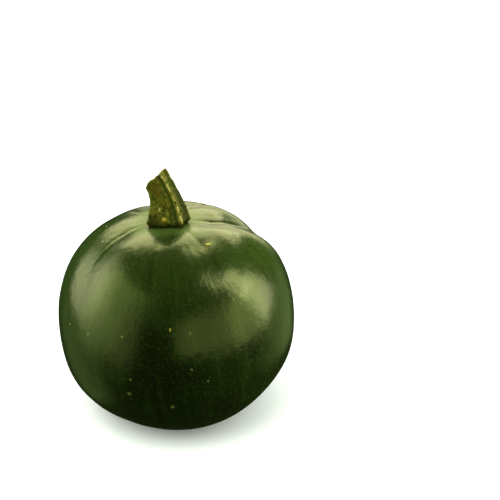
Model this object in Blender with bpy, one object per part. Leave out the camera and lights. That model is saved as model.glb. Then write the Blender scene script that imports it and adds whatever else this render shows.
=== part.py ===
"""A gem squash as picked: a round, softly lobed fruit and the ridged stem that it hung by.

Metres, +Z up. The fruit's front faces -Y. The origin is on the surface that the squash
rests on, under the middle of the box that it fills.
"""

import math

import bmesh
import bpy
import numpy as np

MM = 0.001

# The fruit, in millimetres and degrees. A direction round it, its azimuth, is 0 at the
# front and grows towards +X. A polar angle is 0 at the stem and 180 at the blossom end.
FRUIT_WIDTH = 90.0
UPPER_HEIGHT, LOWER_HEIGHT = 42.9, 39.0  # from the fruit's middle to either end, before dimples and flats
UPPER_FULLNESS, LOWER_FULLNESS = 2.27, 2.4  # 2 makes an ellipse, and more fills out its shoulders
FRUIT_LEAN = 3.8  # the stem end leans this far towards -X
MIDDLE_HEIGHT = 36.5  # of the fruit's middle above the surface that it rests on

LOBE_RISE = 0.8  # the shoulders between the grooves
SHOULDER = 22.0  # polar angle by which a groove is at its full depth
VALLEY_HALF_WIDTH = 9.5  # on the shoulder, VALLEY_SPREAD from the fruit's axis
VALLEY_SPREAD = 32.0
VALLEY_NARROWS = 0.45  # share of that width left at the stem
VALLEY_FADE = (62.0, 9.0)  # polar angle where a valley has lost half its depth, and how fast
CREASE_HALF_WIDTH = 2.0
CREASE_FADE = 4.0  # how fast a crease ends past its length
TURN_ENDS = 63.0  # a groove's turn towards one side goes on to this polar angle
GROOVES = (
    # azimuth at the stem, turn a quarter of the way down, valley depth, crease depth, crease length
    (-88.5, 26.0, 1.5, 0.55, 42.0),
    (-16.0, 6.0, 0.6, 0.0, 30.0),
    (46.0, -14.0, 0.8, 0.35, 28.0),
    (94.0, 20.0, 3.0, 0.55, 48.0),
    (146.0, 4.0, 0.7, 0.35, 34.0),
    (-168.0, 0.0, 1.1, 0.45, 38.0),
    (-132.0, -4.0, 0.5, 0.4, 26.0),
)

STEM_DIMPLE = (0.9, 11.0)  # depth and radius
BLOSSOM_DIMPLE = (1.1, 4.5)
BLOSSOM_SCAR = (-0.5, 2.6)  # the small button in it stands back out
# Soft flats where the fruit lay or was pressed as it grew: azimuth, angle below level,
# distance from the fruit's middle
PRESSED_SIDES = ((-42.0, 63.0, 45.9), (85.0, 51.0, 41.8))
PRESS_BLEND = 4.0
BASE_BLEND = 0.8
BASE_SUNK = 0.25  # how much of its rounded underside the fruit has worn flat

# The stem
STEM_PLACE = (-0.3, 0.9)  # where its foot is, from the middle of the dimple
STEM_LENGTH = 18.5  # along its middle, to the plane of its cut
STEM_RADIUS = 4.8
STEM_FLARE = (3.0, 8.5)  # what the foot adds to that radius, and the height that it takes
STEM_DEPTH = 0.85  # front to back, as a share of its width
STEM_BEND = (25.0, 1.0, 18.0)  # lean towards -X, and the heights where the bend starts and ends
STEM_TWIST = -5.0  # from foot to cut
FOOT_RISE = 1.0  # where the stem's side leaves the rim of the dimple
STEM_RIDGES = (42.0, 88.0, 165.0, -132.0, -53.0)  # azimuths
RIDGE_RISE = 0.18  # share of the radius
RIDGE_HALF_WIDTH = 15.0
CUT_FACING = (-0.70, 0.28, 0.65)  # the oblique cut looks left, back and up
FOOT_GAP = 0.3  # between the stem's foot and the dimple that it stands in

# Facets
FRUIT_SEGMENTS, FRUIT_RINGS = 90, 40
STEM_SEGMENTS, CUT_RINGS, SIDE_RINGS, FOOT_RINGS = 40, 3, 15, 4


def turned(angle):
    """An angle in degrees, brought between -180 and 180."""
    return (angle + 180.0) % 360.0 - 180.0


def soft_limit(value, limit, blend):
    """The value where it is below the limit, and the limit where it is above, with a round passage."""
    return -blend * np.logaddexp(-value / blend, -limit / blend)


def direction(azimuth, below):
    """The unit vector at this azimuth and this far below level."""
    azimuth, below = math.radians(azimuth), math.radians(below)
    level = math.cos(below)
    return np.array([math.sin(azimuth) * level, -math.cos(azimuth) * level, -math.sin(below)])


def groove_depth(azimuth, polar, radius):
    """How far the skin lies below the lobes: broad valleys, and a narrow crease along each near the stem."""
    rise = np.clip(polar / SHOULDER, 0.0, 1.0) ** 1.2
    half, pace = VALLEY_FADE
    valley_share = rise / (1.0 + np.exp((polar - half) / pace))
    spread = np.minimum(radius / VALLEY_SPREAD, 1.0)
    valley_width = VALLEY_HALF_WIDTH * (VALLEY_NARROWS + (1.0 - VALLEY_NARROWS) * spread)
    depth = np.zeros_like(azimuth)
    for start, turn, valley, crease, length in GROOVES:
        middle = start + turn * np.minimum(polar, TURN_ENDS) / 45.0
        across = np.radians(turned(azimuth - middle)) * radius
        crease_share = rise / (1.0 + np.exp((polar - length) / CREASE_FADE))
        depth += valley * valley_share * np.exp(-((across / valley_width) ** 2))
        depth += crease * crease_share * np.exp(-((across / CREASE_HALF_WIDTH) ** 2))
    return depth - LOBE_RISE * valley_share


def fruit_skin(azimuth, polar):
    """Points of the skin in millimetres, for azimuths and polar angles in degrees."""
    around, down = np.radians(azimuth), np.radians(polar)
    level, up = np.sin(down), np.cos(down)
    fullness = np.where(up > 0, UPPER_FULLNESS, LOWER_FULLNESS)
    reach = (np.abs(level) ** fullness + np.abs(up) ** fullness) ** (-1.0 / fullness)
    radius = FRUIT_WIDTH / 2.0 * reach * level
    height = np.where(up > 0, UPPER_HEIGHT, LOWER_HEIGHT) * reach * up

    inward = groove_depth(azimuth, polar, radius)
    radius = radius - level * inward
    height = height - up * inward
    dimple, wide = STEM_DIMPLE
    height = height - (up > 0) * dimple * np.exp(-((radius / wide) ** 2))

    lean = math.radians(FRUIT_LEAN)
    x, y = radius * np.sin(around), -radius * np.cos(around)
    leaned = np.stack([
        x * math.cos(lean) - height * math.sin(lean),
        y,
        x * math.sin(lean) + height * math.cos(lean),
    ], axis=-1)
    for side, below, distance in PRESSED_SIDES:
        facing = direction(side, below)
        stands = leaned @ facing
        leaned = leaned + (soft_limit(stands, distance, PRESS_BLEND) - stands)[..., None] * facing

    below = soft_limit(-leaned[..., 2], MIDDLE_HEIGHT + BASE_SUNK, BASE_BLEND)
    leaned[..., 2] = np.maximum(MIDDLE_HEIGHT - below, 0.0)
    for rise, wide in (BLOSSOM_DIMPLE, BLOSSOM_SCAR):
        hollow = rise * np.exp(-((radius / wide) ** 2))
        leaned[..., 2] += (up < 0) * (radius < 2.0 * wide) * hollow
    return leaned


def stem_lean(along):
    """The stem's lean towards -X in radians, this far up its middle line."""
    lean, start, end = STEM_BEND
    eased = np.clip((along - start) / (end - start), 0.0, 1.0)
    return math.radians(lean) * eased * eased * (3.0 - 2.0 * eased)


def stem_middle(along):
    """The stem's middle line above its foot, as the sums of its short steps: x and z."""
    steps = (np.arange(40) + 0.5) / 40.0
    leans = stem_lean(along[..., None] * steps)
    return -along * np.sin(leans).mean(axis=-1), along * np.cos(leans).mean(axis=-1)


def stem_section(azimuth, along):
    """Reach of the stem's side to the right and to the front: five ridges with furrows between them."""
    flare, height = STEM_FLARE
    radius = STEM_RADIUS + flare * np.exp(-((along / height) ** 2))
    twist = STEM_TWIST * along / STEM_LENGTH
    ridges = sum(
        np.exp(-((turned(azimuth - ridge - twist) / RIDGE_HALF_WIDTH) ** 2)) for ridge in STEM_RIDGES
    )
    radius = radius * (1.0 - RIDGE_RISE / 2.0 + RIDGE_RISE * ridges)
    around = np.radians(azimuth)
    return radius * np.sin(around), STEM_DEPTH * radius * np.cos(around)


def stem_side(azimuth, along):
    """Points of the stem's side, from the middle of its foot."""
    x, z = stem_middle(along)
    lean = stem_lean(along)
    right, front = stem_section(azimuth, along)
    return np.stack([x + right * np.cos(lean), -front, z + right * np.sin(lean)], axis=-1)


def cut_middle():
    """The point of the stem's middle line that its cut passes through."""
    x, z = stem_middle(np.array(STEM_LENGTH))
    return np.array([float(x), 0.0, float(z)])


def length_to_cut(azimuth):
    """How far up the stem its side meets the plane of the cut, found by halving."""
    facing = np.array(CUT_FACING)
    low = np.full_like(azimuth, FOOT_RISE)
    high = np.full_like(azimuth, 2.0 * STEM_LENGTH)
    for _ in range(40):
        half = (low + high) / 2.0
        under = (stem_side(azimuth, half) - cut_middle()) @ facing < 0.0
        low = np.where(under, half, low)
        high = np.where(under, high, half)
    return low


def stem_surface(azimuth, polar):
    """The whole stem: the cut face round polar angle 0, then its side, then its foot round 180."""
    rings = CUT_RINGS + SIDE_RINGS + FOOT_RINGS
    ring = polar / 180.0 * rings
    place_x, place_y = STEM_PLACE
    foot = fruit_skin(np.zeros(1), np.zeros(1))[0] + np.array([place_x, place_y, 0.0])
    out = np.clip(ring / CUT_RINGS, 0.0, 1.0)
    down = np.clip((ring - CUT_RINGS) / SIDE_RINGS, 0.0, 1.0)
    under = np.clip((rings - ring) / FOOT_RINGS, 0.0, 1.0)

    along = FOOT_RISE + (length_to_cut(azimuth) - FOOT_RISE) * (1.0 - down)
    side = stem_side(azimuth, along)
    face = cut_middle() + (side - cut_middle()) * out[..., None]
    right, front = stem_section(azimuth, np.zeros_like(azimuth))
    right, front = right + place_x, front - place_y
    polar = np.degrees(np.hypot(right, front) * under / (FRUIT_WIDTH / 2.0))
    sole = fruit_skin(np.degrees(np.arctan2(right, front)), polar)
    on_foot = (down >= 1.0)[..., None]
    return np.where(on_foot, sole, face + foot) + np.array([0.0, 0.0, FOOT_GAP])


def skin_material(name, colour, roughness):
    material = bpy.data.materials.new(name)
    material.use_nodes = True
    shader = material.node_tree.nodes["Principled BSDF"]
    shader.inputs["Base Color"].default_value = (*colour, 1.0)
    shader.inputs["Roughness"].default_value = roughness
    shader.inputs["Metallic"].default_value = 0.0
    material.diffuse_color = (*colour, 1.0)
    return material


def grown(name, segments, rings, surface, material, collection):
    """A sphere whose every point is moved to the surface that a function gives for its direction."""
    shape = bmesh.new()
    bmesh.ops.create_uvsphere(shape, u_segments=segments, v_segments=rings, radius=1.0)
    places = np.array([vertex.co for vertex in shape.verts])
    azimuth = np.degrees(np.arctan2(places[:, 0], -places[:, 1]))
    polar = np.degrees(np.arccos(np.clip(places[:, 2], -1.0, 1.0)))
    for vertex, place in zip(shape.verts, surface(azimuth, polar) * MM):
        vertex.co = place
    bmesh.ops.recalc_face_normals(shape, faces=shape.faces)
    mesh = bpy.data.meshes.new(name)
    shape.to_mesh(mesh)
    shape.free()
    mesh.shade_smooth()
    mesh.set_sharp_from_angle(angle=math.radians(40.0))
    mesh.materials.append(material)
    piece = bpy.data.objects.new(name, mesh)
    collection.objects.link(piece)
    return piece


def clear_scene():
    for old in list(bpy.data.objects):
        bpy.data.objects.remove(old, do_unlink=True)


def build():
    clear_scene()
    collection = bpy.data.collections.new("gem_squash")
    bpy.context.scene.collection.children.link(collection)
    green_rind = skin_material("waxy_green_rind", (0.030, 0.062, 0.014), 0.35)
    dry_stem = skin_material("dry_ridged_stem", (0.120, 0.115, 0.030), 0.75)
    stem_rings = CUT_RINGS + SIDE_RINGS + FOOT_RINGS
    grown("fruit", FRUIT_SEGMENTS, FRUIT_RINGS, fruit_skin, green_rind, collection)
    grown("stem", STEM_SEGMENTS, stem_rings, stem_surface, dry_stem, collection)


build()
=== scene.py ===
"""A gem squash as picked, on a white table under soft panels of light.

The fruit and its stem are grown from the same formulas as the solids. Here the creases are narrower,
three of them are shorter, the stem has sunk into the fruit, and the skin has fine relief.
Sizes are in millimetres and angles in degrees, up to the point where a mesh is made.
"""

import math

import bmesh
import bpy
import numpy as np
from mathutils import Matrix, Quaternion, Vector


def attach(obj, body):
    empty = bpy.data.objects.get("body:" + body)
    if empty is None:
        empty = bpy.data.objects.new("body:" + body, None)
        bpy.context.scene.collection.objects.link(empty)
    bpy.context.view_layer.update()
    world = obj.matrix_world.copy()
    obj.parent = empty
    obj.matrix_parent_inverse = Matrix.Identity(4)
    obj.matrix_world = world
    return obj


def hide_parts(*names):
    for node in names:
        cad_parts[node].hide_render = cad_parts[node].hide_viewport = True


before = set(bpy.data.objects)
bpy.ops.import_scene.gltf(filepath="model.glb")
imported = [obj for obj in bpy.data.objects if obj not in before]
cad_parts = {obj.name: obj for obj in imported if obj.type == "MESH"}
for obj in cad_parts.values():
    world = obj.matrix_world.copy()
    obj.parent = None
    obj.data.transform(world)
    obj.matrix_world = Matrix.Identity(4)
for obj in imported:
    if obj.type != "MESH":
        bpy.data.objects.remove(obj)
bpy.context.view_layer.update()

MM = 0.001

# The fruit. An azimuth is 0 at the front and grows towards +X. A polar angle is 0 at the stem and
# 180 at the blossom end.
FRUIT_WIDTH = 90.0
UPPER_HEIGHT, LOWER_HEIGHT = 42.9, 39.0
UPPER_FULLNESS, LOWER_FULLNESS = 2.27, 2.4
FRUIT_LEAN = 3.8
MIDDLE_HEIGHT = 36.5
LOBE_RISE = 0.8
SHOULDER = 22.0
VALLEY_HALF_WIDTH = 9.5
VALLEY_SPREAD = 32.0
VALLEY_NARROWS = 0.45
VALLEY_FADE = (62.0, 9.0)
CREASE_HALF_WIDTH = 1.5
CREASE_LINE = 0.55  # half-width of the painted highlight line at its bottom
CREASE_FADE = 4.0
TURN_ENDS = 63.0
GROOVES = (
    # azimuth at the stem, turn a quarter of the way down, valley depth, crease depth, crease length
    (-88.5, 26.0, 1.5, 0.55, 34.0),
    (-16.0, 6.0, 0.6, 0.0, 30.0),
    (46.0, -14.0, 0.8, 0.25, 24.0),
    (94.0, 20.0, 3.0, 0.55, 42.0),
    (146.0, 4.0, 0.7, 0.35, 34.0),
    (-168.0, 0.0, 1.1, 0.45, 38.0),
    (-132.0, -4.0, 0.5, 0.4, 26.0),
)
STEM_DIMPLE = (0.9, 11.0)
BLOSSOM_DIMPLE = (1.1, 4.5)
BLOSSOM_SCAR = (-0.5, 2.6)
PRESSED_SIDES = ((-42.0, 63.0, 45.9), (85.0, 51.0, 41.8))
PRESS_BLEND = 4.0
BASE_BLEND = 0.8
BASE_SUNK = 0.25

# Fine relief of the rind
FLUTE_RISE = 0.012  # faint ribs that run down from the stem
FLUTE_FADE = (44.0, 8.0)  # polar angle where they have lost half their height, and how fast
SWELL = (0.05, 14.0)  # unevenness under the thumb: height and spacing
RIPPLE = (0.010, 4.5)

# The stem
STEM_PLACE = (-0.3, 0.9)
STEM_LENGTH = 18.5
STEM_RADIUS = 4.8
STEM_FLARE = (3.0, 8.5)
STEM_DEPTH = 0.85
STEM_BEND = (25.0, 1.0, 18.0)
STEM_TWIST = -5.0
FOOT_RISE = 1.0
STEM_RIDGES = (42.0, 88.0, 165.0, -132.0, -53.0)
RIDGE_RISE = 0.18
RIDGE_HALF_WIDTH = 15.0
CUT_FACING = (-0.70, 0.28, 0.65)
FOOT_SUNK = 0.5  # the foot has grown this far into the fruit

# Fine relief of the stem
CORD = (0.24, 4.5)  # the rounded cord along each ridge: height, and half-width in degrees
FURROW = (0.28, 5.0, 11.0)  # beside each cord: depth, half-width and distance from it in degrees
FIBRES = (0.06, 1.1, 7.0)  # height, spacing round the stem, and how many times longer they are
WARTS = (0.07, 2.2, 1.0)
KNOB = (-6.0, 3.5, 0.95, 0.6)  # azimuth, height above the foot, radius and rise of one big wart
RIM_RAG = (0.15, 2.0)  # the torn rim of the cut: height and spacing
RIM_BULGE = (-26.0, 20.0, 0.8)  # where the knife left the rim higher: azimuth, half-width and rise
TOES = (0.9, 1.6, 12.0)  # how far the ridges spread at the foot, up to what height, and how wide
FOOT_RAG = (0.35, 1.8)  # unevenness of the foot where it has grown on: depth and spacing
PITH = (0.8, 0.38)  # the shrunken pith: depth, and radius as a share of the cut
BUNDLES = (0.22, 0.72, 0.10, 10)  # fibre bundles: rise, where and how wide as shares, and count
CUT_GRAIN = (0.06, 0.8)

# Marks on the rind: azimuth, polar angle, turn, half-width, half-length, depth of colour, colour
RIND_MARKS = (
    (46.5, 27.3, -26.0, 1.15, 0.36, 1.0, "#c4bd3c"),
    (43.5, 25.9, 10.0, 0.70, 0.28, 0.9, "#5b4a18"),
    (42.6, 28.0, -26.0, 0.50, 0.35, 0.9, "#4c4a14"),
    (0.8, 63.6, 0.0, 0.33, 0.75, 1.0, "#a49a4a"),
    (-58.8, 50.0, 0.0, 0.42, 0.36, 0.9, "#10170b"),
    (-41.5, 54.4, 0.0, 0.35, 0.30, 0.8, "#10170b"),
    (-23.8, 68.0, 0.0, 0.45, 0.36, 0.45, "#94a163"),
    (-45.0, 72.0, 0.0, 0.42, 0.42, 0.5, "#94a163"),
    (-60.8, 73.0, 0.0, 0.45, 0.40, 0.6, "#94a163"),
    (-22.0, 99.7, 0.0, 0.85, 0.65, 0.42, "#8b9a5c"),
    (9.2, 84.5, 0.0, 0.45, 0.50, 0.42, "#8b9a5c"),
    (-81.0, 32.5, 0.0, 0.42, 0.36, 0.6, "#b9bf86"),
    (-103.0, 30.7, 0.0, 0.45, 0.38, 0.6, "#aab374"),
)

# Marks on the stem: azimuth, height above the foot, half-width, half-length, depth of colour, colour
STEM_MARKS = (
    (-14.0, 15.4, 2.6, 2.4, 0.40, "#6e5c1c"),
    (-52.0, 9.5, 0.6, 7.0, 0.30, "#868a2e"),
    (50.0, 2.4, 1.3, 2.0, 0.55, "#98a468"),
    (66.0, 9.0, 2.4, 9.0, 0.40, "#2c3d0e"),
    (-38.0, 2.6, 2.2, 2.8, 0.55, "#232c08"),
    (18.0, 4.6, 1.0, 4.0, 0.50, "#1f3014"),
    (30.0, 19.5, 1.2, 2.2, 0.30, "#2c3d0e"),
)
# Three more, each by azimuth, height, half-width and half-length
MOTTLED_FLANK = (72.0, 4.5, 3.0, 6.0)
# A painted highlight: a small whitish glint on the stem's front
PAINTED_STEM_GLINT = (-22.0, 7.1, 0.35, 0.85)
DARK_TOE = (88.0, 0.8, 1.0, 0.8)

# Roughness of the wax, and what the grain, the dry button and the rubbed collar add to it
WAX_ROUGHNESS = 0.21
GRAIN_ROUGHNESS, BUTTON_ROUGHNESS, COLLAR_ROUGHNESS = 0.06, 0.40, 0.20
WAX_TINT = "#eeffbd"
CORK_ROUGHNESS, FIBRE_ROUGHNESS = 0.62, 0.15

# Facets
FRUIT_SEGMENTS, FRUIT_RINGS = 400, 220
STEM_SEGMENTS, CUT_RINGS, SIDE_RINGS, FOOT_RINGS = 240, 36, 120, 6

# The camera, as it was fitted to the photograph
CAMERA_PLACE = (28.01, -637.12, 413.81)
CAMERA_BELOW_LEVEL = 28.61
CAMERA_LENS = 138.84
CAMERA_SENSOR = 36.0
CAMERA_NEAREST = 10.0

WARM_WHITE = "#fff8d6"
BACK_WHITE = "#fff7c6"
LEAF_LIGHT = "#f3ffb6"  # light that greenery in the room throws back
DEEP_LEAF_LIGHT = "#d8ff98"  # and the greener light low down
PAPER_WHITE = "#f7fff6"

# The soft lights: colour, azimuth and angle above level of the middle, how far the panel is turned on
# its middle, distance, width and height in millimetres, brightness, and how much of the panel fades
# towards its left, right, lower and upper edge, as seen from the fruit
SOFT_LIGHTS = {
    "left_softbox": (
        WARM_WHITE, -99.0, 21.0, 30.0, 800.0, 920.0, 1140.0, 4.4,
        (0.64, 0.24, 0.58, 0.40),
    ),
    "left_fill": (
        LEAF_LIGHT, -66.0, 11.0, 0.0, 900.0, 1560.0, 2000.0, 1.8,
        (0.45, 0.14, 0.52, 0.16),
    ),
    "left_bounce": (
        DEEP_LEAF_LIGHT, -108.0, -29.0, 0.0, 900.0, 1200.0, 1020.0, 0.28,
        (0.35, 0.45, 0.16, 0.45),
    ),
    "right_window": (
        WARM_WHITE, 99.0, 13.0, 22.0, 900.0, 600.0, 860.0, 5.2,
        (0.45, 0.08, 0.36, 0.16),
    ),
    "right_window_top": (
        WARM_WHITE, 82.5, 41.0, 8.0, 900.0, 310.0, 580.0, 8.8,
        (0.45, 0.10, 0.15, 0.10),
    ),
    "right_fill": (
        LEAF_LIGHT, 76.0, 10.0, 0.0, 900.0, 1060.0, 1080.0, 2.2,
        (0.30, 0.34, 0.30, 0.30),
    ),
    "right_bounce": (
        DEEP_LEAF_LIGHT, 118.0, -16.0, 0.0, 900.0, 1380.0, 720.0, 0.66,
        (0.40, 0.40, 0.25, 0.35),
    ),
    "back_softbox": (
        BACK_WHITE, 184.0, 38.0, 16.0, 900.0, 1120.0, 840.0, 5.8,
        (0.14, 0.08, 0.34, 0.20),
    ),
    "back_corner": (
        BACK_WHITE, 151.0, 61.0, 0.0, 900.0, 210.0, 200.0, 8.5,
        (0.25, 0.25, 0.25, 0.25),
    ),
    "back_wall": (
        BACK_WHITE, 171.0, 3.0, 0.0, 900.0, 760.0, 460.0, 1.7,
        (0.30, 0.34, 0.24, 0.30),
    ),
    "front_fill": (
        LEAF_LIGHT, 30.0, 11.0, 0.0, 900.0, 1400.0, 900.0, 1.1,
        (0.12, 0.30, 0.14, 0.42),
    ),
}
TABLE_LIGHTS = {
    "table_softbox": (
        PAPER_WHITE, -40.0, 50.0, 0.0, 800.0, 600.0, 600.0, 3.2,
        (0.10, 0.10, 0.10, 0.10),
    ),
}
AMBIENT = 0.03
TABLE_GAP = 0.05  # so that the table and the flat underside don't share a plane
DOME_RADIUS = 4000.0
DOME_SEGMENTS, DOME_RINGS = 48, 24
DOME_BRIGHTNESS = 2.0


def turned(angle):
    """An angle in degrees, brought between -180 and 180."""
    return (angle + 180.0) % 360.0 - 180.0


def soft_limit(value, limit, blend):
    """The value where it is below the limit, and the limit where it is above, with a round passage."""
    return -blend * np.logaddexp(-value / blend, -limit / blend)


def direction(azimuth, below):
    """The unit vector at this azimuth and this far below level."""
    azimuth, below = math.radians(azimuth), math.radians(below)
    level = math.cos(below)
    return np.array([math.sin(azimuth) * level, -math.cos(azimuth) * level, -math.sin(below)])


def unevenness(places, spacing, seed, waves=40):
    """Smooth random relief, mostly between -1 and 1, with its bumps about this far apart."""
    draw = np.random.default_rng(seed)
    facings = draw.normal(size=(waves, 3))
    facings /= np.linalg.norm(facings, axis=1, keepdims=True)
    lengths = spacing * draw.uniform(0.7, 1.4, waves)
    starts = draw.uniform(0.0, 2.0 * np.pi, waves)
    relief = np.zeros(len(places))
    for facing, length, start in zip(facings, lengths, starts):
        relief += np.sin(places @ facing * (2.0 * np.pi / length) + start)
    return relief / math.sqrt(waves)


def flutes(azimuth, seed=3, waves=24):
    """Relief of the faint ribs round the stem, mostly between -1 and 1."""
    draw = np.random.default_rng(seed)
    counts = draw.integers(10, 44, waves)
    starts = draw.uniform(0.0, 2.0 * np.pi, waves)
    around = np.radians(azimuth)
    return sum(np.sin(count * around + start) for count, start in zip(counts, starts)) / math.sqrt(waves)


def ring_of(azimuth, radius):
    """Points of a level circle, as two columns."""
    around = np.radians(azimuth)
    return np.stack([radius * np.sin(around), -radius * np.cos(around)], axis=-1)


def grooves(azimuth, polar, radius):
    """How far the skin lies below the lobes, and the share of the painted highlight line in the creases near
    the stem.
    """
    rise = np.clip(polar / SHOULDER, 0.0, 1.0) ** 1.2
    half, pace = VALLEY_FADE
    valley_share = rise / (1.0 + np.exp((polar - half) / pace))
    spread = np.minimum(radius / VALLEY_SPREAD, 1.0)
    valley_width = VALLEY_HALF_WIDTH * (VALLEY_NARROWS + (1.0 - VALLEY_NARROWS) * spread)
    depth = np.zeros_like(azimuth)
    line = np.zeros_like(azimuth)
    for start, turn, valley, crease, length in GROOVES:
        middle = start + turn * np.minimum(polar, TURN_ENDS) / 45.0
        across = np.radians(turned(azimuth - middle)) * radius
        crease_share = 1.0 / (1.0 + np.exp((polar - length) / CREASE_FADE))
        depth += valley * valley_share * np.exp(-((across / valley_width) ** 2))
        depth += crease * rise * crease_share * np.exp(-((across / CREASE_HALF_WIDTH) ** 2))
        line += crease * crease_share * np.exp(-((across / CREASE_LINE) ** 2))
    return depth - LOBE_RISE * valley_share, line


def fruit_skin(azimuth, polar):
    """Points of the skin in millimetres, for azimuths and polar angles in degrees."""
    around, down = np.radians(azimuth), np.radians(polar)
    level, up = np.sin(down), np.cos(down)
    fullness = np.where(up > 0, UPPER_FULLNESS, LOWER_FULLNESS)
    reach = (np.abs(level) ** fullness + np.abs(up) ** fullness) ** (-1.0 / fullness)
    radius = FRUIT_WIDTH / 2.0 * reach * level
    height = np.where(up > 0, UPPER_HEIGHT, LOWER_HEIGHT) * reach * up

    half, pace = FLUTE_FADE
    flute_share = np.clip(polar / SHOULDER, 0.0, 1.0) / (1.0 + np.exp((polar - half) / pace))
    inward = grooves(azimuth, polar, radius)[0] - FLUTE_RISE * flute_share * flutes(azimuth)
    round_place = np.column_stack([ring_of(azimuth, 1.0) * radius[:, None], height])
    for (rise, spacing), seed in ((SWELL, 11), (RIPPLE, 12)):
        inward = inward - rise * unevenness(round_place, spacing, seed)
    radius = radius - level * inward
    height = height - up * inward
    dimple, wide = STEM_DIMPLE
    height = height - (up > 0) * dimple * np.exp(-((radius / wide) ** 2))

    lean = math.radians(FRUIT_LEAN)
    x, y = radius * np.sin(around), -radius * np.cos(around)
    leaned = np.stack([
        x * math.cos(lean) - height * math.sin(lean),
        y,
        x * math.sin(lean) + height * math.cos(lean),
    ], axis=-1)
    for side, below, distance in PRESSED_SIDES:
        facing = direction(side, below)
        stands = leaned @ facing
        leaned = leaned + (soft_limit(stands, distance, PRESS_BLEND) - stands)[..., None] * facing

    below = soft_limit(-leaned[..., 2], MIDDLE_HEIGHT + BASE_SUNK, BASE_BLEND)
    leaned[..., 2] = np.maximum(MIDDLE_HEIGHT - below, 0.0)
    for rise, wide in (BLOSSOM_DIMPLE, BLOSSOM_SCAR):
        hollow = rise * np.exp(-((radius / wide) ** 2))
        leaned[..., 2] += (up < 0) * (radius < 2.0 * wide) * hollow
    return leaned


def foot_middle():
    """The middle of the stem's foot, on the skin."""
    return fruit_skin(np.zeros(1), np.zeros(1))[0] + np.array([*STEM_PLACE, 0.0])


def fruit_marks(azimuth, polar):
    """What the rind's colour needs to know at each point of the skin."""
    skin = fruit_skin(azimuth, polar)
    x, y = (skin - foot_middle())[:, :2].T
    reach = np.hypot(*stem_section(np.degrees(np.arctan2(x, -y)), np.zeros_like(x)))
    radius = FRUIT_WIDTH / 2.0 * np.sin(np.radians(polar))
    down = np.radians(polar) * FRUIT_WIDTH / 2.0
    # The underside lies straight below the stem, but it isn't near it.
    from_stem = np.where(polar < 90.0, np.hypot(x, y) - reach, FRUIT_WIDTH)
    return {
        "polar": polar,
        # The share of the painted highlight line in the creases
        "crease": grooves(azimuth, polar, radius)[1],
        "from_stem": from_stem,
        "meridian": np.column_stack([ring_of(azimuth, FRUIT_WIDTH / 2.0), down]),
    }


def stem_lean(along):
    """The stem's lean towards -X in radians, this far up its middle line."""
    lean, start, end = STEM_BEND
    eased = np.clip((along - start) / (end - start), 0.0, 1.0)
    return math.radians(lean) * eased * eased * (3.0 - 2.0 * eased)


def stem_middle(along):
    """The stem's middle line above its foot, as the sums of its short steps: x and z."""
    steps = (np.arange(40) + 0.5) / 40.0
    leans = stem_lean(along[..., None] * steps)
    return -along * np.sin(leans).mean(axis=-1), along * np.cos(leans).mean(axis=-1)


def ridge_share(azimuth, along, half_width):
    """1 on the crest of a ridge of the stem, falling to 0 in the furrows."""
    twist = STEM_TWIST * along / STEM_LENGTH
    return sum(np.exp(-((turned(azimuth - ridge - twist) / half_width) ** 2)) for ridge in STEM_RIDGES)


def stem_grain(azimuth, along):
    """What cords, furrows, fibres, warts and the knob add to the stem's radius."""
    rise, half_width = CORD
    relief = rise * ridge_share(azimuth, along, half_width)
    depth, half_width, aside = FURROW
    relief -= depth * ridge_share(azimuth + aside, along, half_width)
    spread, height, half_width = TOES
    ring = ring_of(azimuth - STEM_TWIST * along / STEM_LENGTH, STEM_RADIUS)
    rag, spacing = FOOT_RAG
    toes = spread * (ridge_share(azimuth, along, half_width) - 0.5)
    toes += rag * unevenness(np.column_stack([ring, np.zeros_like(along)]), spacing, 25)
    relief += toes * np.exp(-((along / height) ** 2))
    for (rise, spacing, longer), seed in ((FIBRES, 21), (WARTS, 22)):
        relief += rise * unevenness(np.column_stack([ring, along / longer]), spacing, seed)
    knob_azimuth, knob_height, radius, rise = KNOB
    across = np.radians(turned(azimuth - knob_azimuth)) * (STEM_RADIUS + STEM_FLARE[0])
    return relief + rise * np.exp(-((across ** 2 + (along - knob_height) ** 2) / radius ** 2))


def stem_section(azimuth, along):
    """Reach of the stem's side to the right and to the front: five ridges with furrows between them."""
    flare, height = STEM_FLARE
    radius = STEM_RADIUS + flare * np.exp(-((along / height) ** 2))
    ridges = ridge_share(azimuth, along, RIDGE_HALF_WIDTH)
    radius = radius * (1.0 - RIDGE_RISE / 2.0 + RIDGE_RISE * ridges) + stem_grain(azimuth, along)
    around = np.radians(azimuth)
    return radius * np.sin(around), STEM_DEPTH * radius * np.cos(around)


def stem_side(azimuth, along):
    """Points of the stem's side, from the middle of its foot."""
    x, z = stem_middle(along)
    lean = stem_lean(along)
    right, front = stem_section(azimuth, along)
    return np.stack([x + right * np.cos(lean), -front, z + right * np.sin(lean)], axis=-1)


def cut_middle():
    """The point of the stem's middle line that its cut passes through."""
    x, z = stem_middle(np.array(STEM_LENGTH))
    return np.array([float(x), 0.0, float(z)])


def length_to_cut(azimuth):
    """How far up the stem its side meets the plane of the cut, found by halving, with a torn rim."""
    facing = np.array(CUT_FACING)
    low = np.full_like(azimuth, FOOT_RISE)
    high = np.full_like(azimuth, 2.0 * STEM_LENGTH)
    for _ in range(24):
        half = (low + high) / 2.0
        under = (stem_side(azimuth, half) - cut_middle()) @ facing < 0.0
        low = np.where(under, half, low)
        high = np.where(under, high, half)
    rag, spacing = RIM_RAG
    ring = np.column_stack([ring_of(azimuth, STEM_RADIUS), np.zeros_like(azimuth)])
    middle, half_width, rise = RIM_BULGE
    bulge = rise * np.exp(-((turned(azimuth - middle) / half_width) ** 2))
    return low + bulge + rag * unevenness(ring, spacing, 23)


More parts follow.
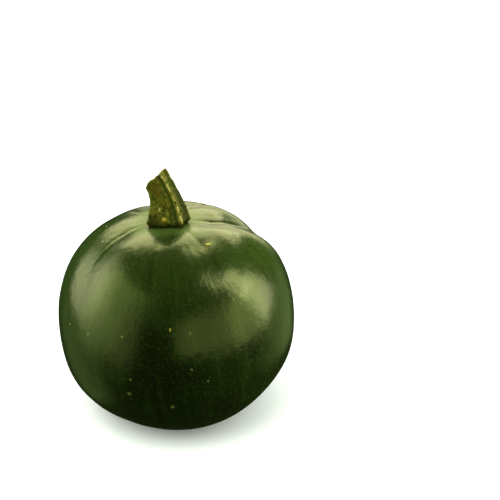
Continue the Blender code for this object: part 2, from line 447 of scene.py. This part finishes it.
def stem_shares(azimuth, polar):
    """Shares of the way out over the cut, down the side and in under the foot, and heights up the side."""
    rings = CUT_RINGS + SIDE_RINGS + FOOT_RINGS
    ring = polar / 180.0 * rings
    out = np.clip(ring / CUT_RINGS, 0.0, 1.0)
    down = np.clip((ring - CUT_RINGS) / SIDE_RINGS, 0.0, 1.0)
    under = np.clip((rings - ring) / FOOT_RINGS, 0.0, 1.0)
    around, of_which = np.unique(azimuth.round(3), return_inverse=True)
    length = length_to_cut(around)[of_which]
    along = FOOT_RISE + (length - FOOT_RISE) * (1.0 - down)
    return out, down, under, along, length


def cut_relief(azimuth, out, face):
    """How far the cut face stands proud: sunk pith, raised fibre bundles round it, and a coarse grain."""
    depth, radius = PITH
    rise, where, wide, count = BUNDLES
    bundles = 0.5 + 0.5 * np.sin(count * np.radians(azimuth))
    grain, spacing = CUT_GRAIN
    relief = grain * unevenness(face, spacing, 24) * (1.0 - out ** 8)
    ring = rise * bundles * np.exp(-(((out - where) / wide) ** 2))
    return relief - depth * np.exp(-((out / radius) ** 2)) + ring


def stem_surface(azimuth, polar):
    """The whole stem: the cut face round polar angle 0, then its side, then its foot round 180."""
    out, down, under, along, _ = stem_shares(azimuth, polar)
    side = stem_side(azimuth, along)
    face = cut_middle() + (side - cut_middle()) * out[..., None]
    facing = np.array(CUT_FACING) / np.linalg.norm(CUT_FACING)
    face = face + (down <= 0.0)[..., None] * cut_relief(azimuth, out, face)[..., None] * facing

    place_x, place_y = STEM_PLACE
    right, front = stem_section(azimuth, np.zeros_like(azimuth))
    right, front = right + place_x, front - place_y
    polar = np.degrees(np.hypot(right, front) * under / (FRUIT_WIDTH / 2.0))
    sole = fruit_skin(np.degrees(np.arctan2(right, front)), polar)
    on_foot = (down >= 1.0)[..., None]
    return np.where(on_foot, sole - np.array([0.0, 0.0, FOOT_SUNK]), face + foot_middle())


def stem_marks(azimuth, polar):
    """What the stem's colour needs to know at each point of its surface."""
    out, down, _, along, length = stem_shares(azimuth, polar)
    _, half_width, aside = FURROW
    twist = STEM_TWIST * along / STEM_LENGTH
    ring = ring_of(azimuth - twist, STEM_RADIUS)
    return {
        "along": along,
        "below_rim": (length - along) - (1.0 - out) * STEM_RADIUS,
        "cut_out": out + down,
        # The one ridge that is worn tan and has a pale crest, which is partly a painted highlight
        "worn_and_lit_ridge": np.exp(-((turned(azimuth - STEM_RIDGES[0] - twist) / CORD[1]) ** 2)),
        "furrow": ridge_share(azimuth + aside, along, half_width),
        "fibre": np.column_stack([ring, along / FIBRES[2]]),
    }


def grown(name, segments, rings, surface, marks):
    """A sphere whose every point is moved to the surface that a function gives for its direction.

    A second function gives the marks, values at each point that the material reads by name.
    """
    shape = bmesh.new()
    bmesh.ops.create_uvsphere(shape, u_segments=segments, v_segments=rings, radius=1.0)
    mesh = bpy.data.meshes.new(name)
    shape.to_mesh(mesh)
    shape.free()
    places = np.empty(3 * len(mesh.vertices))
    mesh.vertices.foreach_get("co", places)
    places = places.reshape(-1, 3)
    azimuth = np.degrees(np.arctan2(places[:, 0], -places[:, 1]))
    polar = np.degrees(np.arccos(np.clip(places[:, 2], -1.0, 1.0)))
    mesh.vertices.foreach_set("co", (surface(azimuth, polar) * MM).ravel())
    for mark, values in marks(azimuth, polar).items():
        kind, field = ("FLOAT", "value") if values.ndim == 1 else ("FLOAT_VECTOR", "vector")
        mesh.attributes.new(mark, kind, "POINT").data.foreach_set(field, values.astype(np.float32).ravel())
    mesh.update()
    mesh.shade_smooth()
    piece = bpy.data.objects.new(name, mesh)
    bpy.context.scene.collection.objects.link(piece)
    return piece


def linear(hex_colour):
    """An sRGB hex colour as the linear values that a shader takes."""
    parts = [int(hex_colour[at:at + 2], 16) / 255.0 for at in (1, 3, 5)]
    return tuple(p / 12.92 if p <= 0.04045 else ((p + 0.055) / 1.055) ** 2.4 for p in parts)


def node(tree, kind, inputs, out=0, **settings):
    """Adds a node with its settings. An input is a value, or the output that feeds it. Returns one output."""
    made = tree.nodes.new(kind)
    for name, value in settings.items():
        setattr(made, name, value)
    for name, value in inputs.items():
        if isinstance(value, bpy.types.NodeSocket):
            tree.links.new(value, made.inputs[name])
        else:
            made.inputs[name].default_value = value
    return made.outputs[out]


def plain_material(name):
    material = bpy.data.materials.new(name)
    material.use_nodes = True
    return material, material.node_tree, material.node_tree.nodes["Principled BSDF"]


def eased(tree, value, start, end):
    """0 where a value is at the start or before it, and 1 at the end, with a smooth passage."""
    return node(tree, "ShaderNodeMapRange", {
        "Value": value, "From Min": start, "From Max": end,
    }, interpolation_type="SMOOTHSTEP")


def product(tree, *values):
    """Several shares multiplied."""
    result = values[0]
    for value in values[1:]:
        result = node(tree, "ShaderNodeMath", {0: result, 1: value}, operation="MULTIPLY")
    return result


def patches(tree, place, spacing, start, end, detail=2.0):
    """Soft patches about this many millimetres apart: 1 inside, 0 between."""
    noise = node(tree, "ShaderNodeTexNoise", {"Vector": place, "Scale": 1.0 / spacing, "Detail": detail})
    return eased(tree, noise, start, end)


def dots(tree, place, spacing, radius, present, softness):
    """Round dots of unequal size, in this share of the cells of a grid this wide."""
    cells = node(tree, "ShaderNodeTexVoronoi", {"Vector": place, "Scale": 1.0 / spacing}, out="Distance")
    chance = node(tree, "ShaderNodeSeparateColor", {"Color": cells.node.outputs["Color"]})
    size = eased(tree, chance, 1.0 - present, 1.0)
    reach = product(tree, size, radius / spacing)
    edge = node(tree, "ShaderNodeMath", {0: reach, 1: cells}, operation="SUBTRACT")
    return eased(tree, edge, 0.0, softness / spacing)


def spot(tree, place, centre, across, upward, half_sizes):
    """1 inside an ellipsoid round a point of the skin, and 0 outside."""
    across, upward = Vector(across).normalized(), Vector(upward).normalized()
    axes = Matrix((across, upward.cross(across), upward)).transposed()
    inside = node(tree, "ShaderNodeMapping", {
        "Vector": place, "Location": centre, "Rotation": axes.to_euler(), "Scale": half_sizes,
    }, vector_type="TEXTURE")
    length = node(tree, "ShaderNodeVectorMath", {0: inside}, out="Value", operation="LENGTH")
    return eased(tree, length, 1.25, 0.7)


def skin_spot(tree, place, azimuth, polar, turn, half_width, half_length, depth=1.5):
    """A spot on the rind at this azimuth and polar angle, turned anticlockwise on the rind."""
    step = 0.5
    here, right, above = fruit_skin(
        np.array([azimuth, azimuth + step, azimuth]), np.array([polar, polar, polar - step]),
    )
    right, above = Vector(right - here).normalized(), Vector(above - here).normalized()
    turn = Quaternion(right.cross(above), math.radians(turn))
    return spot(tree, place, here, turn @ right, turn @ above, (half_width, depth, half_length))


def stem_spot(tree, place, azimuth, along, half_width, half_length, depth=1.2):
    """A spot on the stem's side at this azimuth and height."""
    step = 0.5
    here, right, above = stem_side(
        np.array([azimuth, azimuth + 4.0 * step, azimuth]), np.array([along, along, along + step]),
    )
    centre = here + foot_middle()
    return spot(tree, place, centre, right - here, above - here, (half_width, depth, half_length))


def in_millimetres(tree):
    """A piece's own coordinates, in millimetres."""
    place = node(tree, "ShaderNodeTexCoord", {}, out="Object")
    return node(tree, "ShaderNodeVectorMath", {0: place, "Scale": 1.0 / MM}, operation="SCALE")


def frayed(tree, place, reach, spacing):
    """Coordinates shifted at random by up to this reach, so that what is drawn with them has ragged edges."""
    noise = node(tree, "ShaderNodeTexNoise", {
        "Vector": place, "Scale": 1.0 / spacing, "Detail": 2.0,
    }, out="Color")
    shift = node(tree, "ShaderNodeVectorMath", {0: noise, 1: (0.5, 0.5, 0.5)}, operation="SUBTRACT")
    return node(tree, "ShaderNodeVectorMath", {
        0: shift, 1: (2.0 * reach,) * 3, 2: place,
    }, operation="MULTIPLY_ADD")


def layered(tree, ground, layers):
    """A ground colour with others laid over it in turn, each by its share and strength."""
    colour = (*linear(ground), 1.0)
    for share, strength, shade in layers:
        colour = node(tree, "ShaderNodeMix", {
            0: product(tree, share, strength), 6: colour, 7: (*linear(shade), 1.0),
        }, out=2, data_type="RGBA")
    return colour


def summed(tree, start, parts):
    """A start value plus several shares, each times what it adds."""
    total = start
    for share, amount in parts:
        total = node(tree, "ShaderNodeMath", {0: share, 1: amount, 2: total}, operation="MULTIPLY_ADD")
    return total


def raised(tree, reliefs):
    """The sum of several reliefs, each a share and what it adds in millimetres, as a normal."""
    return node(tree, "ShaderNodeBump", {"Height": summed(tree, 0.0, reliefs), "Distance": MM})


def waxy_green_rind():
    # Rind of a ripe gem squash, as grown: a smooth wax over dark green cells. It gives broad satin
    # highlights that the uneven cells under the wax break up into a fine grain. Real cells and pores
    # are well under 0.1 mm wide, too fine to show, so they are drawn about 1 mm apart.
    # Some of the rind's colour is painted light: a lighter top, upper right and left side, a paler ring round
    # the stem, pale highlight lines in the creases, and a painted shadow under the stem's foot.
    material, tree, shader = plain_material("waxy_green_rind")
    place = in_millimetres(tree)
    torn = frayed(tree, place, 0.35, 0.9)
    polar = node(tree, "ShaderNodeAttribute", {}, out="Fac", attribute_name="polar")
    crease = node(tree, "ShaderNodeAttribute", {}, out="Fac", attribute_name="crease")
    from_stem = node(tree, "ShaderNodeAttribute", {}, out="Fac", attribute_name="from_stem")
    meridian = node(tree, "ShaderNodeAttribute", {}, out="Vector", attribute_name="meridian")
    streaky = node(tree, "ShaderNodeVectorMath", {0: meridian, 1: (1.0, 1.0, 0.08)}, operation="MULTIPLY")
    x = node(tree, "ShaderNodeSeparateXYZ", {"Vector": place}, out="X")

    # Painted light: the rind is lighter on its upper half, and lighter still on the upper right and on the
    # left side.
    upper = eased(tree, polar, 72.0, 38.0)
    lower = eased(tree, polar, 50.0, 85.0)
    painted_light_upper_right = product(tree, eased(tree, x, 12.0, 40.0), upper)
    painted_light_left_side = product(tree, eased(tree, x, -8.0, -44.0), eased(tree, polar, 115.0, 60.0))
    underside = eased(tree, polar, 165.0, 176.0)
    button = eased(tree, polar, 177.0, 178.2)
    # Painted light: a paler ring round the stem stands in for highlights that the stem's dark reflection
    # takes away there.
    painted_light_round_stem = eased(tree, from_stem, 9.0, 3.0)
    rubbed_collar = eased(tree, from_stem, 8.0, 1.0)
    # Painted shadow: the rind is darkened right under the stem's foot.
    painted_shade_under_foot = eased(tree, from_stem, 1.1, 0.3)
    cloudy = patches(tree, place, 17.0, 0.42, 0.62)
    pale_clouds = product(tree, painted_light_upper_right, patches(tree, place, 12.0, 0.35, 0.60))
    pale_streaks = patches(tree, streaky, 2.6, 0.50, 0.74)
    dark_streaks = patches(tree, streaky, 3.4, 0.48, 0.30)
    grain = patches(tree, place, 1.1, 0.50, 0.68)
    pores = patches(tree, place, 0.9, 0.50, 0.34)
    specks = dots(tree, torn, 2.3, 0.45, 0.45, 0.20)
    flecks = dots(tree, torn, 7.5, 0.85, 0.7, 0.25)
    low_specks = product(tree, specks, eased(tree, polar, 45.0, 85.0))
    low_flecks = product(tree, flecks, lower)
    # Painted highlight: a pale line along the creases near the stem.
    painted_crease_highlights = product(tree, crease, eased(tree, polar, 40.0, 27.0))
    blossom_cork = product(tree, underside, patches(tree, place, 1.6, 0.40, 0.55))
    colour = layered(tree, "#121908", [
        (cloudy, 0.50, "#1a2a0f"),
        # Painted light: the next four layers lighten the top, the upper right and the left side.
        (upper, 0.66, "#2d4019"),
        (painted_light_upper_right, 0.42, "#445e25"),
        (pale_clouds, 0.30, "#35501e"),
        (painted_light_left_side, 0.45, "#314a22"),
        (pale_streaks, 0.20, "#384f22"),
        (dark_streaks, 0.35, "#0c1407"),
        (grain, 0.16, "#42592a"),
        (pores, 0.26, "#0a1105"),
        (low_specks, 0.18, "#7f8d52"),
        (low_flecks, 0.55, "#8a975a"),
        # Painted highlight along the creases.
        (painted_crease_highlights, 0.40, "#8b9c5e"),
        # Painted light round the stem.
        (painted_light_round_stem, 0.62, "#56713a"),
        # Painted shadow under the stem's foot.
        (painted_shade_under_foot, 0.85, "#141f0d"),
        (blossom_cork, 0.6, "#6d7440"),
        (button, 0.9, "#8a744c"),
    ] + [
        (skin_spot(tree, torn, *mark), strength, shade) for *mark, strength, shade in RIND_MARKS
    ])
    tree.links.new(colour, shader.inputs["Base Color"])
    tree.links.new(summed(tree, WAX_ROUGHNESS, [
        (grain, GRAIN_ROUGHNESS), (button, BUTTON_ROUGHNESS), (rubbed_collar, COLLAR_ROUGHNESS),
    ]), shader.inputs["Roughness"])
    shader.inputs["Specular Tint"].default_value = (*linear(WAX_TINT), 1.0)
    cells = node(tree, "ShaderNodeTexNoise", {"Vector": place, "Scale": 1.0 / 2.0, "Detail": 2.5})
    streaks = node(tree, "ShaderNodeTexNoise", {"Vector": streaky, "Scale": 1.0 / 1.6, "Detail": 1.0})
    tree.links.new(raised(tree, [
        (cells, 0.070), (streaks, 0.025), (specks, 0.006), (flecks, 0.02), (pores, -0.003),
    ]), shader.inputs["Normal"])
    return material


def dry_ridged_stem():
    # The woody stem of a squash, dried on the fruit: corky fibres, matt and mottled, green where the
    # bark is left, tan where one ridge is rubbed, with a paler oblique cut. The pale crest of that ridge
    # is partly a painted highlight, and a small whitish glint on the front is a painted highlight.
    # Real fibres are about 0.1 mm thick, too fine to show, so they are drawn as bundles 0.5 to 1 mm wide.
    material, tree, shader = plain_material("dry_ridged_stem")
    place = in_millimetres(tree)
    torn = frayed(tree, place, 0.45, 0.9)
    along = node(tree, "ShaderNodeAttribute", {}, out="Fac", attribute_name="along")
    below_rim = node(tree, "ShaderNodeAttribute", {}, out="Fac", attribute_name="below_rim")
    cut_out = node(tree, "ShaderNodeAttribute", {}, out="Fac", attribute_name="cut_out")
    worn_and_lit_ridge = node(tree, "ShaderNodeAttribute", {}, out="Fac", attribute_name="worn_and_lit_ridge")
    furrow = node(tree, "ShaderNodeAttribute", {}, out="Fac", attribute_name="furrow")
    fibre = node(tree, "ShaderNodeAttribute", {}, out="Vector", attribute_name="fibre")

    fibres = patches(tree, fibre, 0.9, 0.46, 0.62)
    green_bark = patches(tree, torn, 3.4, 0.46, 0.60)
    dark_bark = patches(tree, torn, 1.5, 0.52, 0.60)
    brown_cork = patches(tree, torn, 1.3, 0.47, 0.39)
    dark_specks = patches(tree, place, 0.7, 0.53, 0.60)
    pale_specks = patches(tree, place, 0.8, 0.42, 0.36)
    flank = product(tree, stem_spot(tree, torn, *MOTTLED_FLANK), patches(tree, torn, 1.2, 0.44, 0.54))
    # Along one ridge: tan wear, and a pale crest that is partly a painted highlight.
    crest = eased(tree, worn_and_lit_ridge, 0.15, 0.75)
    above_foot = eased(tree, along, 1.2, 3.0)
    pale_crest_and_highlight = product(tree, crest, patches(tree, torn, 1.2, 0.45, 0.53), above_foot)
    tan_crest = product(tree, crest, patches(tree, torn, 1.3, 0.58, 0.64))
    knob_azimuth, knob_height, knob_radius, _ = KNOB
    knob = stem_spot(tree, torn, knob_azimuth, knob_height, knob_radius, 0.85 * knob_radius)
    rim = product(tree, eased(tree, below_rim, 0.5, 0.1), patches(tree, torn, 1.6, 0.40, 0.52))
    on_cut = eased(tree, below_rim, 0.10, -0.15)
    pith = product(tree, on_cut, eased(tree, cut_out, 0.45, 0.25))
    cut_grain = product(tree, on_cut, patches(tree, place, 0.6, 0.50, 0.62))
    colour = layered(tree, "#686b1f", [
        (green_bark, 0.55, "#4b5a12"),
        (dark_bark, 0.80, "#2b3d0c"),
        (brown_cork, 0.65, "#6f5212"),
        (fibres, 0.35, "#8b8c34"),
        (dark_specks, 0.60, "#1c2607"),
        (pale_specks, 0.50, "#979248"),
    ] + [
        (stem_spot(tree, torn, *mark), strength, shade) for *mark, strength, shade in STEM_MARKS
    ] + [
        (flank, 0.85, "#2a2c0c"),
        (eased(tree, furrow, 0.35, 0.9), 0.75, "#263a0d"),
        # Pale crest, partly a painted highlight.
        (pale_crest_and_highlight, 0.90, "#c6bd80"),
        (tan_crest, 0.70, "#a28434"),
        (eased(tree, along, 2.6, 0.8), 0.65, "#232b08"),
        (knob, 0.95, "#c4a750"),
        # Painted highlight: a small glint on the stem's front.
        (stem_spot(tree, place, *PAINTED_STEM_GLINT), 0.9, "#c3c99a"),
        (stem_spot(tree, torn, *DARK_TOE), 0.9, "#3a2210"),
        (rim, 0.75, "#b39a3c"),
        (on_cut, 1.0, "#867650"),
        (pith, 0.75, "#5f4c2c"),
        (cut_grain, 0.45, "#aa9a6c"),
    ])
    tree.links.new(colour, shader.inputs["Base Color"])
    tree.links.new(summed(tree, CORK_ROUGHNESS, [(fibres, FIBRE_ROUGHNESS)]), shader.inputs["Roughness"])
    shader.inputs["Specular IOR Level"].default_value = 0.15
    strands = node(tree, "ShaderNodeTexNoise", {"Vector": fibre, "Scale": 1.0 / 0.5, "Detail": 3.0})
    cork = node(tree, "ShaderNodeTexNoise", {"Vector": place, "Scale": 1.0 / 0.6, "Detail": 3.0})
    tree.links.new(raised(tree, [(strands, 0.16), (cork, 0.28)]), shader.inputs["Normal"])
    return material


def make_fruit():
    fruit = grown("fruit_skin", FRUIT_SEGMENTS, FRUIT_RINGS, fruit_skin, fruit_marks)
    fruit.data.materials.append(waxy_green_rind())
    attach(fruit, "root")
    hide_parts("fruit")
    return fruit


def make_stem():
    rings = CUT_RINGS + SIDE_RINGS + FOOT_RINGS
    stem = grown("stem_wood", STEM_SEGMENTS, rings, stem_surface, stem_marks)
    stem.data.materials.append(dry_ridged_stem())
    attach(stem, "root")
    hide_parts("stem")
    return stem


def make_table():
    """A matt white table. It takes the fruit's shadow but throws no light back up at it."""
    bpy.ops.mesh.primitive_plane_add(size=2.0 * DOME_RADIUS * MM)
    table = bpy.context.object
    table.name = "table"
    table.location.z = -TABLE_GAP * MM
    material, _, shader = plain_material("matt_white_table")
    shader.inputs["Base Color"].default_value = (*linear("#f4f4f2"), 1.0)
    shader.inputs["Roughness"].default_value = 1.0
    shader.inputs["Specular IOR Level"].default_value = 0.0
    table.data.materials.append(material)
    table.visible_diffuse = False
    table.visible_glossy = False
    table.visible_shadow = False
    return table


def make_backdrop():
    """A bright white dome, which lights the table evenly and stands behind everything."""
    bpy.ops.mesh.primitive_uv_sphere_add(
        radius=DOME_RADIUS * MM, segments=DOME_SEGMENTS, ring_count=DOME_RINGS,
    )
    dome = bpy.context.object
    dome.name = "backdrop"
    material, _, shader = plain_material("bright_white_backdrop")
    shader.inputs["Base Color"].default_value = (0.0, 0.0, 0.0, 1.0)
    shader.inputs["Emission Color"].default_value = (*linear(PAPER_WHITE), 1.0)
    shader.inputs["Emission Strength"].default_value = DOME_BRIGHTNESS
    dome.data.materials.append(material)
    dome.visible_glossy = dome.visible_transmission = dome.visible_shadow = False
    return dome


def make_soft_light(name, colour, azimuth, above, roll, distance, width, height, brightness, fades):
    lamp = bpy.data.lights.new(name, "AREA")
    lamp.shape = "RECTANGLE"
    lamp.size, lamp.size_y = width * MM, height * MM
    lamp.energy = brightness * math.pi * lamp.size * lamp.size_y
    lamp.color = linear(colour)
    lamp.use_nodes = True
    tree = lamp.node_tree
    panel = node(tree, "ShaderNodeNewGeometry", {}, out="Parametric")
    split = node(tree, "ShaderNodeSeparateXYZ", {"Vector": panel}).node
    left, right, lower, upper = fades
    share = product(
        tree,
        eased(tree, split.outputs["X"], 1.0, 1.0 - left),
        eased(tree, split.outputs["X"], 0.0, right),
        eased(tree, split.outputs["Y"], 0.0, lower),
        eased(tree, split.outputs["Y"], 1.0, 1.0 - upper),
    )
    tree.links.new(share, tree.nodes["Emission"].inputs["Strength"])
    light = bpy.data.objects.new(name, lamp)
    bpy.context.scene.collection.objects.link(light)
    outward = Vector(direction(azimuth, -above))
    light.location = outward * distance * MM + Vector((0.0, 0.0, MIDDLE_HEIGHT * MM))
    on_middle = Quaternion((0.0, 0.0, 1.0), math.radians(roll))
    light.rotation_euler = (outward.to_track_quat("Z", "Y") @ on_middle).to_euler()
    light.visible_camera = False
    return light


def light_only(lights, pieces, name):
    """Lets these lights fall on these pieces alone."""
    lit = bpy.data.collections.new(name)
    for piece in pieces:
        lit.objects.link(piece)
    for light in lights:
        light.light_linking.receiver_collection = lit


def make_ambient_light():
    world = bpy.data.worlds.new("room")
    world.use_nodes = True
    background = world.node_tree.nodes["Background"]
    background.inputs["Color"].default_value = (*linear(DEEP_LEAF_LIGHT), 1.0)
    background.inputs["Strength"].default_value = AMBIENT
    bpy.context.scene.world = world


def make_camera():
    eye = bpy.data.cameras.new("camera")
    eye.sensor_width = CAMERA_SENSOR
    eye.lens = CAMERA_LENS
    eye.clip_start = CAMERA_NEAREST * MM
    camera = bpy.data.objects.new("camera", eye)
    bpy.context.scene.collection.objects.link(camera)
    camera.location = Vector(CAMERA_PLACE) * MM
    camera.rotation_euler = (math.radians(90.0 - CAMERA_BELOW_LEVEL), 0.0, 0.0)
    bpy.context.scene.camera = camera


squash = [make_fruit(), make_stem()]
stage_table = make_table()
panels = [make_soft_light(name, *values) for name, values in SOFT_LIGHTS.items()]
table_panels = [make_soft_light(name, *values) for name, values in TABLE_LIGHTS.items()]
light_only(panels, squash, "lit_by_panels")
light_only([make_backdrop(), *table_panels], [stage_table], "lit_by_backdrop")
make_ambient_light()
make_camera()
bpy.context.scene.view_settings.view_transform = "Standard"

bpy.context.view_layer.update()
